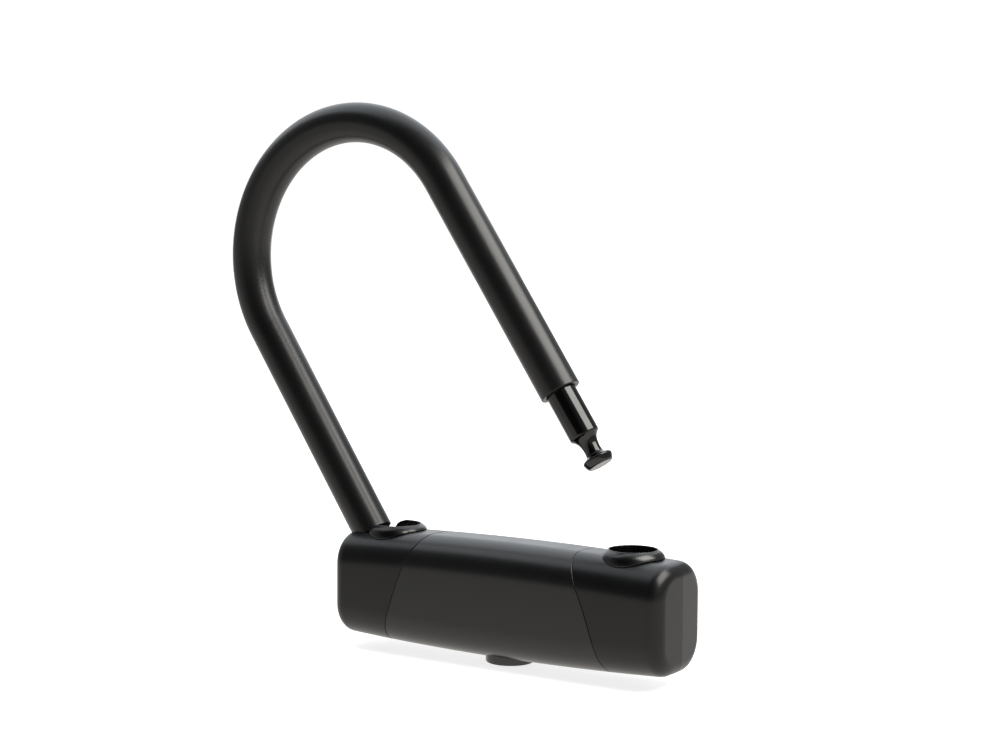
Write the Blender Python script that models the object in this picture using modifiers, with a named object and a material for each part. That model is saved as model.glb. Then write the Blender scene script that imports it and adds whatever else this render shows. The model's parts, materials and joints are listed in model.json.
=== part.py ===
"""U lock: a bent steel shackle hinged at its left foot on a crossbar that holds a key-operated deadbolt.

Metres, +Z up. The origin is the centre of the crossbar's flat back face.
The crossbar runs along X and its front faces -Y. The shackle is modelled swung fully open.
"""
import math

import bmesh
import bpy
from mathutils import Matrix, Vector

# ---- Driving dimensions (metres) ----
LEG_SPACING = 0.118
BAR_RADIUS = 0.0065
SLEEVE_RADIUS = 0.00875
SLEEVE_WALL = 0.00195
OPEN_ANGLE = math.radians(34.1)
PIVOT_RISE = 0.0008           # the hinge pin above the crossbar's mid height
ARC_START = 0.1322            # height above the hinge pin where the legs meet the arc
LEFT_SLEEVE_END = 0.0246      # height above the hinge pin where the sleeve stops on the hinged leg
RIGHT_SLEEVE_END = 0.0261     # the same on the free leg
RIM_HEIGHT = 0.0265           # collar rim above the crossbar's mid height

CROSSBAR_LENGTH = 0.1646
CROSSBAR_DEPTH = 0.038
CROSSBAR_HEIGHT = 0.0456      # at the ends
BELLY = 0.002                 # how far the top and the bottom bow out at mid length
EDGE_RADIUS = 0.014
END_RADIUS = 0.0060
END_DRAFT = 0.045             # each end is a shallow ridge: how far it falls back per metre from mid depth

COVER_WALL = 0.003
TUBE_WALL = 0.003
TUBE_LENGTH = 0.155
GAP = 0.0003                  # between pieces that touch

SEAM_X = 0.047                # seam between centre cover and end cap, at mid height
SEAM_SLOPE = 0.374            # how far the seam leans outwards per metre of drop
SEAM_GAP = 0.0004

COLLAR_BORE = 0.0098
COLLAR_RIM = 0.0104
COLLAR_FOOT = 0.0136
COLLAR_SKIRT = 0.0110
COLLAR_SLOT = 0.0097          # half width of the opening that lets the left leg lean out

FOOT_CLEARANCE = 0.0006
SLOT_HALF_WIDTH = 0.0093
SOCKET_RADIUS = 0.0086
SOCKET_DEPTH = 0.0108

HINGE_PIN_RADIUS = 0.0025
CROSS_PIN_RADIUS = 0.0015
CROSS_PIN_Z = -0.0133
CROSS_PIN_X = 0.049
CROSS_PIN_REACH = 0.0135      # half length, inside the rounded lower edges of the tube

BLOCK_INNER_X = 0.0458
BLOCK_OUTER_X = 0.0768

BOLT_HALF_WIDTH = 0.0069
BOLT_TOP = 0.0026
BOLT_BOTTOM = -0.0028
BOLT_TAIL_X = -0.0087
BOLT_TIP_X = 0.0519           # tip of the withdrawn bolt
BOLT_TRAVEL = 0.009
FORK_RADIUS = 0.0044          # half width of the fork that closes round the right foot's neck
FORK_CENTRE = 0.0019          # the fork's centre behind the bolt's tip
CHANNEL_CLEARANCE = 0.0004

CRANK_RADIUS = BOLT_TRAVEL / math.sqrt(2.0)
CRANK_PIN_RADIUS = 0.0015
CAM_RADIUS = 0.0082
CAM_BOTTOM = -0.0066
CAM_TOP = -0.0047

CYLINDER_RADIUS = 0.0085
CYLINDER_BORE = 0.0065
CYLINDER_TOP = -0.0084
CYLINDER_FACE = -0.0260
PLUG_RADIUS = 0.0062
PLUG_BORE = 0.0054
PLUG_FACE = -0.0249
PLUG_TOP = -0.0082
TAIL_HALF_WIDTH = 0.0025
DISC_COUNT = 6
DISC_RADIUS = 0.0051
DISC_THICKNESS = 0.0017
DISC_PITCH = 0.00205
FIRST_DISC_Z = -0.0226
KEYWAY_WIDTH = 0.0026
KEYWAY_LENGTH = 0.0074

BEZEL_RADIUS = 0.0104
BEZEL_FACE = -0.0274
SHUTTER_RADIUS = 0.0079
SHUTTER_RIM = 0.0089
SHUTTER_FACE = -0.0281

SCREW_X = 0.070
SCREW_HEAD_RADIUS = 0.0029
SCREW_SHANK_RADIUS = 0.0015

# ---- Derived places ----
PIVOT_X = -LEG_SPACING / 2
SOCKET_X = LEG_SPACING / 2
TUBE_DEPTH = CROSSBAR_DEPTH - 2 * (COVER_WALL + GAP)
TUBE_HEIGHT = CROSSBAR_HEIGHT - 2 * (COVER_WALL + GAP)
TUBE_CORNER = EDGE_RADIUS - COVER_WALL
INNER_DEPTH = TUBE_DEPTH - 2 * (TUBE_WALL + GAP)
INNER_HEIGHT = TUBE_HEIGHT - 2 * (TUBE_WALL + GAP)
INNER_CORNER = TUBE_CORNER - TUBE_WALL

BLACK_PLASTIC = ("black_plastic", (0.028, 0.028, 0.030), 0.42, 0.0)
BLACK_RUBBER = ("black_rubber", (0.020, 0.020, 0.021), 0.55, 0.0)
DARK_STEEL = ("dark_steel", (0.16, 0.16, 0.165), 0.28, 1.0)
BARE_STEEL = ("bare_steel", (0.52, 0.52, 0.53), 0.32, 1.0)
BRASS = ("brass", (0.62, 0.48, 0.24), 0.35, 1.0)
ZINC = ("zinc", (0.45, 0.46, 0.47), 0.45, 1.0)


# ---- Scene set-up ----
def clear_scene():
    for obj in list(bpy.data.objects):
        bpy.data.objects.remove(obj, do_unlink=True)


def new_collection(name):
    collection = bpy.data.collections.new(name)
    bpy.context.scene.collection.children.link(collection)
    return collection


def material(finish):
    name, colour, roughness, metallic = finish
    found = bpy.data.materials.get(name)
    if found:
        return found
    made = bpy.data.materials.new(name)
    made.use_nodes = True
    shader = made.node_tree.nodes["Principled BSDF"]
    shader.inputs["Base Color"].default_value = (*colour, 1.0)
    shader.inputs["Roughness"].default_value = roughness
    shader.inputs["Metallic"].default_value = metallic
    return made


clear_scene()
PARTS = new_collection("u_lock")
CUTTERS = new_collection("cutters")


def empty(name, location, rotation=(0, 0, 0), parent=None):
    holder = bpy.data.objects.new(name, None)
    holder.location = location
    holder.rotation_euler = rotation
    holder.parent = parent
    holder.empty_display_size = 0.01
    PARTS.objects.link(holder)
    return holder


FRAME = empty("lock_frame", (0, -CROSSBAR_DEPTH / 2, 0))
SHACKLE_PIVOT = empty("shackle_pivot", (PIVOT_X, 0, PIVOT_RISE), (0, -OPEN_ANGLE, 0), FRAME)
KEY_AXIS = empty("key_axis", (0, 0, 0), (0, 0, 0), FRAME)


# ---- Making and combining solids ----
def part(name, mesh, finish, location=(0, 0, 0), parent=FRAME):
    obj = bpy.data.objects.new(name, mesh)
    obj.location = location
    obj.parent = parent
    obj.data.materials.append(material(finish))
    PARTS.objects.link(obj)
    return obj


def cutter(name, mesh, location=(0, 0, 0), parent=FRAME):
    obj = bpy.data.objects.new(name, mesh)
    obj.location = location
    obj.parent = parent
    obj.hide_render = True
    obj.display_type = "WIRE"
    CUTTERS.objects.link(obj)
    return obj


def combine(obj, other, operation="DIFFERENCE"):
    modifier = obj.modifiers.new(f"{operation.lower()}_{other.name}", "BOOLEAN")
    modifier.operation = operation
    modifier.object = other
    return obj


def mesh_of(name, bm, smooth_angle=35):
    mesh = bpy.data.meshes.new(name)
    bm.to_mesh(mesh)
    bm.free()
    mesh.shade_smooth()
    mesh.set_sharp_from_angle(angle=math.radians(smooth_angle))
    return mesh


def box(name, low, high):
    """A box between two corners."""
    bm = bmesh.new()
    bmesh.ops.create_cube(bm, size=1.0)
    low, high = Vector(low), Vector(high)
    bmesh.ops.scale(bm, vec=high - low, verts=bm.verts)
    bmesh.ops.translate(bm, vec=(low + high) / 2, verts=bm.verts)
    return mesh_of(name, bm)


def rod(name, radius, low, high, axis="Z", sides=32):
    """A round rod along an axis, from low to high on it."""
    bm = bmesh.new()
    bmesh.ops.create_cone(bm, cap_ends=True, segments=sides, radius1=radius, radius2=radius, depth=high - low)
    bmesh.ops.translate(bm, vec=(0, 0, (low + high) / 2), verts=bm.verts)
    turn = {"X": (math.pi / 2, "Y"), "Y": (-math.pi / 2, "X"), "Z": (0.0, "Z")}[axis]
    bmesh.ops.rotate(bm, matrix=Matrix.Rotation(turn[0], 3, turn[1]), verts=bm.verts)
    return mesh_of(name, bm)


def runs_along_x(edge):
    along = edge.verts[1].co - edge.verts[0].co
    return abs(along.x) > 0.9 * along.length


def rounded_bar(name, length, depth, height, radius, segments=5):
    """A bar along X with its four long edges rounded."""
    bm = bmesh.new()
    bmesh.ops.create_cube(bm, size=1.0)
    bmesh.ops.scale(bm, vec=(length, depth, height), verts=bm.verts)
    long_edges = [edge for edge in bm.edges if runs_along_x(edge)]
    bmesh.ops.bevel(bm, geom=long_edges, offset=radius, segments=segments, profile=0.5, affect="EDGES")
    return mesh_of(name, bm)


def turned(name, profile, closed=True):
    """A mesh edge loop of (radius, height) points; the Screw modifier added by spin() turns it about Z."""
    bm = bmesh.new()
    verts = [bm.verts.new((radius, 0.0, height)) for radius, height in profile]
    for first, second in zip(verts, verts[1:]):
        bm.edges.new((first, second))
    if closed:
        bm.edges.new((verts[-1], verts[0]))
    mesh = bpy.data.meshes.new(name)
    bm.to_mesh(mesh)
    bm.free()
    return mesh


def spin(obj, steps=32):
    modifier = obj.modifiers.new("turn", "SCREW")
    modifier.steps = steps
    modifier.render_steps = steps
    modifier.use_merge_vertices = True
    modifier.merge_threshold = 0.00001
    return obj


def mesh_from_curve(name, curve, rotation=(0, 0, 0)):
    """The evaluated mesh of a curve, with its caps welded."""
    guide = bpy.data.objects.new(name + "_curve", curve)
    guide.rotation_euler = rotation
    bpy.context.scene.collection.objects.link(guide)
    bpy.context.view_layer.update()
    evaluated = guide.evaluated_get(bpy.context.evaluated_depsgraph_get())
    mesh = bpy.data.meshes.new_from_object(evaluated)
    bm = bmesh.new()
    bm.from_mesh(mesh)
    bmesh.ops.remove_doubles(bm, verts=bm.verts, dist=0.000005)
    bmesh.ops.transform(bm, matrix=guide.matrix_world, verts=bm.verts)
    bmesh.ops.recalc_face_normals(bm, faces=bm.faces)
    bpy.data.objects.remove(guide, do_unlink=True)
    return mesh_of(name, bm)


def plate(name, outline, half_thickness):
    """A flat outline of (x, z) points, thickened along Y to both sides."""
    curve = bpy.data.curves.new(name, "CURVE")
    curve.dimensions = "2D"
    curve.fill_mode = "BOTH"
    curve.extrude = half_thickness
    spline = curve.splines.new("POLY")
    spline.points.add(len(outline) - 1)
    spline.use_cyclic_u = True
    for point, (x, z) in zip(spline.points, outline):
        point.co = (x, z, 0.0, 1.0)
    return mesh_from_curve(name, curve, (math.pi / 2, 0, 0))


def swept(name, stations, bevel_resolution=8, capped=True):
    """A round bar through (point, radius) stations."""
    curve = bpy.data.curves.new(name, "CURVE")
    curve.dimensions = "3D"
    curve.bevel_depth = 1.0
    curve.bevel_resolution = bevel_resolution
    curve.use_fill_caps = capped
    spline = curve.splines.new("POLY")
    spline.points.add(len(stations) - 1)
    for point, (place, radius) in zip(spline.points, stations):
        point.co = (*place, 1.0)
        point.radius = radius
    return mesh_from_curve(name, curve)


# ---- Shared outlines ----
def bow(x):
    """How far the covers stand out above their height at the ends."""
    half = CROSSBAR_LENGTH / 2 - END_RADIUS
    return BELLY * max(0.0, 1.0 - (x / half) ** 2)


def fall_back(place):
    """How far the ends fall back from their ridge at mid depth, fading out towards the collars."""
    start, full = SOCKET_X, CROSSBAR_LENGTH / 2 - END_RADIUS
    share = min(1.0, max(0.0, (abs(place.x) - start) / (full - start)))
    return END_DRAFT * abs(place.y) * share


def envelope(name, grow=0.0):
    """The crossbar's outer form: a bar with bowed top and bottom, large edge radii and rounded ends."""
    bm = bmesh.new()
    bmesh.ops.create_cube(bm, size=1.0)
    size = Vector((CROSSBAR_LENGTH, CROSSBAR_DEPTH, CROSSBAR_HEIGHT)) + Vector((2 * grow,) * 3)
    bmesh.ops.scale(bm, vec=size, verts=bm.verts)
    rings = 10
    reach = CROSSBAR_LENGTH / 2 - END_RADIUS - 0.0006
    for ring in range(rings + 1):
        place = (reach * (2 * ring / rings - 1), 0, 0)
        everything = bm.verts[:] + bm.edges[:] + bm.faces[:]
        bmesh.ops.bisect_plane(bm, geom=everything, plane_co=place, plane_no=(1, 0, 0))
    for vert in bm.verts:
        vert.co.z += math.copysign(bow(vert.co.x), vert.co.z)
    long_edges = [edge for edge in bm.edges if runs_along_x(edge)]
    bmesh.ops.bevel(bm, geom=long_edges, offset=EDGE_RADIUS, segments=6, profile=0.5, affect="EDGES")
    end = size.x / 2
    end_edges = [edge for edge in bm.edges if all(abs(abs(vert.co.x) - end) < 1e-6 for vert in edge.verts)]
    bmesh.ops.bevel(bm, geom=end_edges, offset=END_RADIUS, segments=4, profile=0.5, affect="EDGES")
    everything = bm.verts[:] + bm.edges[:] + bm.faces[:]
    bmesh.ops.bisect_plane(bm, geom=everything, plane_co=(0, 0, 0), plane_no=(0, 1, 0))
    for vert in bm.verts:
        vert.co.x -= math.copysign(fall_back(vert.co), vert.co.x)
    return mesh_of(name, bm)


def seam_at(z, offset):
    return SEAM_X - SEAM_SLOPE * z + offset


def leg_sweep_outline(clearance, reach=0.060):
    """The space a leg of this radius needs between upright and fully open, about the hinge pin."""
    lean = OPEN_ANGLE
    turns = 10
    outline = []
    for step in range(turns + 1):
        angle = math.pi + lean + (math.pi - lean) * step / turns
        outline.append((clearance * math.cos(angle), clearance * math.sin(angle)))
    far_x = -clearance * math.cos(lean) - reach * math.sin(lean)
    far_z = -clearance * math.sin(lean) + reach * math.cos(lean)
    outline.append((clearance, far_z))
    outline.append((far_x, far_z))
    return outline


def sleeve_slot_outline():
    """The notch, above the end of the sleeve, that the leaning left leg lies in."""
    clearance = SLEEVE_RADIUS + 0.0004
    along = LEFT_SLEEVE_END - 0.0008
    near_x = -clearance * math.cos(OPEN_ANGLE) - along * math.sin(OPEN_ANGLE)
    near_z = -clearance * math.sin(OPEN_ANGLE) + along * math.cos(OPEN_ANGLE)
    run = 0.030
    far_x = near_x - run * math.sin(OPEN_ANGLE)
    far_z = near_z + run * math.cos(OPEN_ANGLE)
    floor = 0.012
    pin_clearance = BAR_RADIUS + FOOT_CLEARANCE
    pin_run = (floor + pin_clearance * math.sin(OPEN_ANGLE)) / math.cos(OPEN_ANGLE)
    floor_x = -pin_clearance * math.cos(OPEN_ANGLE) - pin_run * math.sin(OPEN_ANGLE)
    return [(0.0, floor), (0.0, far_z), (far_x, far_z), (near_x, near_z), (floor_x, floor)]


def end_cap_outline(side):
    """Everything beyond one of the leaning seams, as (x, z) points."""
    reach = CROSSBAR_HEIGHT
    near_top = seam_at(reach, SEAM_GAP / 2)
    near_bottom = seam_at(-reach, SEAM_GAP / 2)
    return [(side * near_bottom, -reach), (side * 0.1, -reach), (side * 0.1, reach), (side * near_top, reach)]


def centre_outline():
    """Everything between the two seams, as (x, z) points."""
    reach = CROSSBAR_HEIGHT
    top = seam_at(reach, -SEAM_GAP / 2)
    bottom = seam_at(-reach, -SEAM_GAP / 2)
    return [(-bottom, -reach), (bottom, -reach), (top, reach), (-top, reach)]


# ---- Cutters ----
FAR = 0.03
cavity = cutter("cavity", rounded_bar("cavity", TUBE_LENGTH + 2 * GAP, TUBE_DEPTH + 2 * GAP,
                                      TUBE_HEIGHT + 2 * GAP, TUBE_CORNER + GAP))
tube_bore = cutter("tube_bore", rounded_bar("tube_bore", TUBE_LENGTH + 0.01, TUBE_DEPTH - 2 * TUBE_WALL,
                                            TUBE_HEIGHT - 2 * TUBE_WALL, INNER_CORNER))
centre_zone = cutter("centre_zone", plate("centre_zone", centre_outline(), CROSSBAR_DEPTH))
left_zone = cutter("left_zone", plate("left_zone", end_cap_outline(-1), CROSSBAR_DEPTH))
right_zone = cutter("right_zone", plate("right_zone", end_cap_outline(1), CROSSBAR_DEPTH))
sleeve_slot = cutter("sleeve_slot", plate("sleeve_slot", sleeve_slot_outline(), SLOT_HALF_WIDTH),
                     (PIVOT_X, 0, PIVOT_RISE))
collar_slot = cutter("collar_slot", plate("collar_slot", sleeve_slot_outline(), COLLAR_SLOT),
                     (PIVOT_X, 0, PIVOT_RISE))
foot_sweep = cutter("foot_sweep", plate("foot_sweep", leg_sweep_outline(BAR_RADIUS + FOOT_CLEARANCE),
                                        BAR_RADIUS + FOOT_CLEARANCE), (PIVOT_X, 0, PIVOT_RISE))
left_bore = cutter("left_bore", rod("left_bore", SOCKET_RADIUS, 0.0, FAR), (PIVOT_X, 0, 0))
right_socket = cutter("right_socket", rod("right_socket", SOCKET_RADIUS, -SOCKET_DEPTH, FAR),
                      (SOCKET_X, 0, PIVOT_RISE))
left_collar_hole = cutter("left_collar_hole", rod("left_collar_hole", COLLAR_SKIRT + GAP, 0.01, FAR), (PIVOT_X, 0, 0))
right_collar_hole = cutter("right_collar_hole", rod("right_collar_hole", COLLAR_SKIRT + GAP, 0.01, FAR),
                           (SOCKET_X, 0, 0))
hinge_hole = cutter("hinge_hole", rod("hinge_hole", HINGE_PIN_RADIUS + GAP, -FAR, FAR, "Y", 24),
                    (PIVOT_X, 0, PIVOT_RISE))
channel_side = BOLT_HALF_WIDTH + CHANNEL_CLEARANCE
bolt_channel = cutter("bolt_channel", box("bolt_channel",
                                          (-0.0170, -channel_side, BOLT_BOTTOM - CHANNEL_CLEARANCE),
                                          (0.0640, channel_side, BOLT_TOP + CHANNEL_CLEARANCE)))
cylinder_hole = cutter("cylinder_hole", rod("cylinder_hole", CYLINDER_RADIUS + GAP, -FAR, BOLT_TOP + 0.0006))
bezel_hole = cutter("bezel_hole", rod("bezel_hole", BEZEL_RADIUS + GAP, -FAR, -0.018))

# The surface that the collars sit on, with room for their skirts.
cover_seat = cutter("cover_seat", envelope("cover_seat", GAP))
for seat_name, seat_x in (("left", PIVOT_X), ("right", SOCKET_X)):
    skirt_mesh = rod("skirt_room", COLLAR_SKIRT + GAP / 3, -FAR, FAR)
    combine(cover_seat, cutter(f"{seat_name}_skirt_room", skirt_mesh, (seat_x, 0, 0)))


# ---- Crossbar shell ----
def crossbar_tube():
    mesh = rounded_bar("crossbar_tube", TUBE_LENGTH, TUBE_DEPTH, TUBE_HEIGHT, TUBE_CORNER)
    tube = part("crossbar_tube", mesh, BARE_STEEL)
    for hole in (tube_bore, left_bore, sleeve_slot, right_socket, cylinder_hole, hinge_hole):
        combine(tube, hole)
    return tube


def cover(name, zone, cuts):
    shell = part(name, envelope(name), BLACK_PLASTIC)
    combine(shell, zone, "INTERSECT")
    combine(shell, cavity)
    for cut in cuts:
        combine(shell, cut)
    return shell


def collar(name, centre_x):
    profile = [(COLLAR_BORE, RIM_HEIGHT), (COLLAR_RIM, RIM_HEIGHT), (0.0112, RIM_HEIGHT - 0.0005),
               (0.0121, RIM_HEIGHT - 0.0014), (0.0128, RIM_HEIGHT - 0.0026), (0.0133, RIM_HEIGHT - 0.0040),
               (COLLAR_FOOT, RIM_HEIGHT - 0.0056), (COLLAR_FOOT, 0.0199), (COLLAR_BORE, 0.0199)]
    ring = spin(part(name, turned(name, profile), DARK_STEEL, (centre_x, 0, 0)))
    return combine(ring, cover_seat)


def end_block(name, side):
    """A steel block that closes one end of the tube and holds one foot of the shackle."""
    length = BLOCK_OUTER_X - BLOCK_INNER_X
    mesh = rounded_bar(name, length, INNER_DEPTH, INNER_HEIGHT, INNER_CORNER - GAP)
    return part(name, mesh, ZINC, (side * (BLOCK_OUTER_X + BLOCK_INNER_X) / 2, 0, 0))


def lock_chassis():
    """The block in the middle of the tube that carries the key cylinder and guides the bolt."""
    low_x, high_x = -0.0150, 0.0420
    mesh = rounded_bar("lock_chassis", high_x - low_x, INNER_DEPTH, INNER_HEIGHT, INNER_CORNER - GAP)
    chassis = part("lock_chassis", mesh, ZINC, ((high_x + low_x) / 2, 0, 0))
    combine(chassis, cylinder_hole)
    return combine(chassis, bolt_channel)


def cross_pin(name, x, through):
    """A pin driven from front to back through the tube and the pieces inside it."""
    pin_mesh = rod(name, CROSS_PIN_RADIUS, -CROSS_PIN_REACH, CROSS_PIN_REACH, "Y", 16)
    pin = part(name, pin_mesh, BARE_STEEL, (x, 0, CROSS_PIN_Z))
    hole = cutter(f"{name}_hole", rod("pin_hole", CROSS_PIN_RADIUS + GAP, -FAR, FAR, "Y", 16), (x, 0, CROSS_PIN_Z))
    for pierced in through:
        combine(pierced, hole)
    return pin


def cap_screw(name, x, through):
    """A socket screw that holds an end cap from below."""
    head_top, head_low, tip = -0.0216, -0.0229, -0.0130
    profile = [(0.0, tip), (SCREW_SHANK_RADIUS, tip), (SCREW_SHANK_RADIUS, head_top), (SCREW_HEAD_RADIUS, head_top),
               (SCREW_HEAD_RADIUS, head_low), (0.0, head_low)]
    screw = spin(part(name, turned(name, profile, closed=False), BARE_STEEL, (x, 0, 0)), 20)
    socket = cutter(f"{name}_socket", rod("hex", 0.0015, -FAR, head_low + 0.0008, sides=6), (x, 0, 0))
    combine(screw, socket)
    recess = cutter(f"{name}_recess", rod("recess", SCREW_HEAD_RADIUS + GAP, -FAR, head_top + GAP, sides=20), (x, 0, 0))
    hole = cutter(f"{name}_hole", rod("shank_hole", SCREW_SHANK_RADIUS + GAP, -FAR, tip + GAP, sides=16), (x, 0, 0))
    cap, tube, block = through
    combine(cap, recess)
    for pierced in (cap, tube, block):
        combine(pierced, hole)
    return screw


# ---- Key cylinder ----
def bezel_ring():
    """The ring under the crossbar that frames the key cylinder and captures the dust shutter."""
    lip = BEZEL_FACE + 0.0006
    inner = CYLINDER_RADIUS + GAP
    pocket = SHUTTER_RIM + GAP
    opening = SHUTTER_RADIUS + GAP
    profile = [(inner, -0.0202), (BEZEL_RADIUS, -0.0202), (BEZEL_RADIUS, BEZEL_FACE + 0.0009),
               (BEZEL_RADIUS - 0.0003, BEZEL_FACE + 0.0003), (BEZEL_RADIUS - 0.0010, BEZEL_FACE),
               (opening, BEZEL_FACE), (opening, lip), (pocket, lip), (pocket, CYLINDER_FACE), (inner, CYLINDER_FACE)]
    return spin(part("bezel_ring", turned("bezel_ring", profile), DARK_STEEL, parent=KEY_AXIS))


def keyway(name, low, high):
    """A cutter for the slot that the key passes through."""
    return cutter(name, box(name, (-KEYWAY_WIDTH / 2, -KEYWAY_LENGTH / 2, low),
                            (KEYWAY_WIDTH / 2, KEYWAY_LENGTH / 2, high)), parent=KEY_AXIS)


def dust_shutter():
    """A domed disc with a key slot, turned by hand to cover the keyway."""
    back = CYLINDER_FACE - GAP
    lip = BEZEL_FACE + 0.0009
    profile = [(0.0, back), (SHUTTER_RIM, back), (SHUTTER_RIM, lip), (SHUTTER_RADIUS, lip),
               (SHUTTER_RADIUS, SHUTTER_FACE + 0.0007), (SHUTTER_RADIUS - 0.0005, SHUTTER_FACE + 0.0003),
               (0.0045, SHUTTER_FACE + 0.0001), (0.0, SHUTTER_FACE)]
    disc = spin(part("dust_shutter", turned("dust_shutter", profile, closed=False), DARK_STEEL, parent=KEY_AXIS))
    return combine(disc, keyway("shutter_slot", -FAR, -0.020))


def cylinder_body():
    profile = [(CYLINDER_BORE, CYLINDER_TOP), (CYLINDER_RADIUS, CYLINDER_TOP), (CYLINDER_RADIUS, CYLINDER_FACE),
               (0.0049, CYLINDER_FACE), (0.0049, -0.0252), (CYLINDER_BORE, -0.0252)]
    body = spin(part("cylinder_body", turned("cylinder_body", profile), BRASS, parent=KEY_AXIS))
    groove = cutter("sidebar_groove", box("sidebar_groove", (-0.0074, -0.0011, -0.0232), (-0.0050, 0.0011, -0.0103)),
                    parent=KEY_AXIS)
    return combine(body, groove)


def key_plug():
    """The barrel that the key turns, with a square tail that drives the cam."""
    web = 0.0017
    profile = [(0.0, PLUG_TOP), (PLUG_RADIUS, PLUG_TOP), (PLUG_RADIUS, PLUG_FACE), (PLUG_BORE, PLUG_FACE),
               (PLUG_BORE, PLUG_TOP - web), (0.0, PLUG_TOP - web)]
    plug = spin(part("key_plug", turned("key_plug", profile, closed=False), BRASS, parent=KEY_AXIS))
    tail = cutter("plug_tail", box("plug_tail", (-TAIL_HALF_WIDTH, -TAIL_HALF_WIDTH, PLUG_TOP - web / 2),
                                   (TAIL_HALF_WIDTH, TAIL_HALF_WIDTH, CAM_TOP - 0.0001)), parent=KEY_AXIS)
    combine(plug, tail, "UNION")
    slot = cutter("plug_slot", box("plug_slot", (-0.0011, -0.0075, -0.0232), (0.0011, -0.0046, -0.0103)),
                  parent=KEY_AXIS)
    return combine(plug, slot)


def code_disc(index):
    """One of the discs that the key lines up, notched for the sidebar."""
    low = FIRST_DISC_Z + index * DISC_PITCH
    high = low + DISC_THICKNESS
    name = f"code_disc_{index + 1}"
    disc = part(name, rod(name, DISC_RADIUS, low, high), BARE_STEEL, parent=KEY_AXIS)
    combine(disc, keyway(f"{name}_keyway", low - 0.001, high + 0.001))
    notch = cutter(f"{name}_notch", box("notch", (-0.0011, -0.0060, low - 0.001), (0.0011, -0.0044, high + 0.001)),
                   parent=KEY_AXIS)
    return combine(disc, notch)


def anti_drill_disc():
    low, high = -0.0246, -0.0229
    disc = part("anti_drill_disc", rod("anti_drill_disc", DISC_RADIUS, low, high), DARK_STEEL, parent=KEY_AXIS)
    return combine(disc, keyway("anti_drill_keyway", low - 0.001, high + 0.001))


def sidebar():
    mesh = box("sidebar", (-0.0008, -0.0060, -0.0229), (0.0008, -0.0047, -0.0106))
    return part("sidebar", mesh, BARE_STEEL, parent=KEY_AXIS)


def drive_cam():
    """The disc on the plug's tail, whose crank pin moves the bolt."""
    cam = part("drive_cam", rod("drive_cam", CAM_RADIUS, CAM_BOTTOM, CAM_TOP), ZINC, parent=KEY_AXIS)
    side = TAIL_HALF_WIDTH + GAP
    square = cutter("cam_square", box("cam_square", (-side, -side, -0.010), (side, side, 0.0)), parent=KEY_AXIS)
    combine(cam, square)
    offset = CRANK_RADIUS * math.sqrt(0.5)
    crank = cutter("crank_pin", rod("crank_pin", CRANK_PIN_RADIUS, CAM_TOP - 0.001, BOLT_TOP - 0.0004, sides=20),
                   (-offset, offset, 0), KEY_AXIS)
    return combine(cam, crank, "UNION")


def deadbolt():
    """The sliding bar: a fork at its tip closes round the right foot, a notch in its tail takes the crank pin."""
    bolt = part("deadbolt", box("deadbolt", (BOLT_TAIL_X, -BOLT_HALF_WIDTH, BOLT_BOTTOM),
                                (BOLT_TIP_X, BOLT_HALF_WIDTH, BOLT_TOP)), BARE_STEEL)
    centre = BOLT_TIP_X - FORK_CENTRE
    throat = cutter("fork_throat", rod("fork_throat", FORK_RADIUS, -0.01, 0.01), (centre, 0, 0))
    mouth = cutter("fork_mouth", box("fork_mouth", (centre, -FORK_RADIUS, -0.01), (centre + 0.01, FORK_RADIUS, 0.01)))
    crank_x = -CRANK_RADIUS * math.sqrt(0.5)
    notch = cutter("crank_notch", box("crank_notch", (crank_x - 0.0021, 0.0022, -0.01), (crank_x + 0.0021, 0.01, 0.01)))
    for cut in (throat, mouth, notch):
        combine(bolt, cut)
    return bolt


# ---- Shackle, drawn upright about the hinge pin ----
def leg_and_arc(start, end, radius, arc_steps=26):
    """Stations up the left leg from start, round the arc, and down the right leg to end."""
    stations = [((0, 0, start), radius)]
    middle = LEG_SPACING / 2
    for step in range(arc_steps + 1):
        angle = math.pi * (1 - step / arc_steps)
        place = (middle + middle * math.cos(angle), 0, ARC_START + middle * math.sin(angle))
        stations.append((place, radius))
    stations.append(((LEG_SPACING, 0, end), radius))
    return stations


def shackle_bar():
    ball = []
    for step in range(7):
        angle = math.radians(-80 + 80 * step / 6)
        ball.append(((0, 0, BAR_RADIUS * math.sin(angle)), BAR_RADIUS * math.cos(angle)))
    shoulder = 0.0046
    neck = [(shoulder, 0.0056), (0.0038, 0.0049), (0.0024, 0.0042), (0.0006, 0.0037), (-0.0016, 0.0036),
            (-0.0034, 0.0038), (-0.0044, 0.0044), (-0.0048, 0.0058), (-0.0055, BAR_RADIUS), (-0.0080, BAR_RADIUS),
            (-0.0089, 0.0054)]
    stations = ball + leg_and_arc(0.002, shoulder + 0.0010, BAR_RADIUS)
    stations += [((LEG_SPACING, 0, height), radius) for height, radius in neck]
    bar = part("shackle_bar", swept("shackle_bar", stations), DARK_STEEL, parent=SHACKLE_PIVOT)
    eye = cutter("foot_eye", rod("foot_eye", HINGE_PIN_RADIUS + GAP, -FAR, FAR, "Y", 24), parent=SHACKLE_PIVOT)
    return combine(bar, eye)


def shackle_sleeve():
    mesh = swept("shackle_sleeve", leg_and_arc(LEFT_SLEEVE_END, RIGHT_SLEEVE_END, SLEEVE_RADIUS), capped=False)
    sleeve = part("shackle_sleeve", mesh, BLACK_RUBBER, parent=SHACKLE_PIVOT)
    wall = sleeve.modifiers.new("wall", "SOLIDIFY")
    wall.thickness = SLEEVE_WALL
    wall.offset = -1.0
    return sleeve


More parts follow.
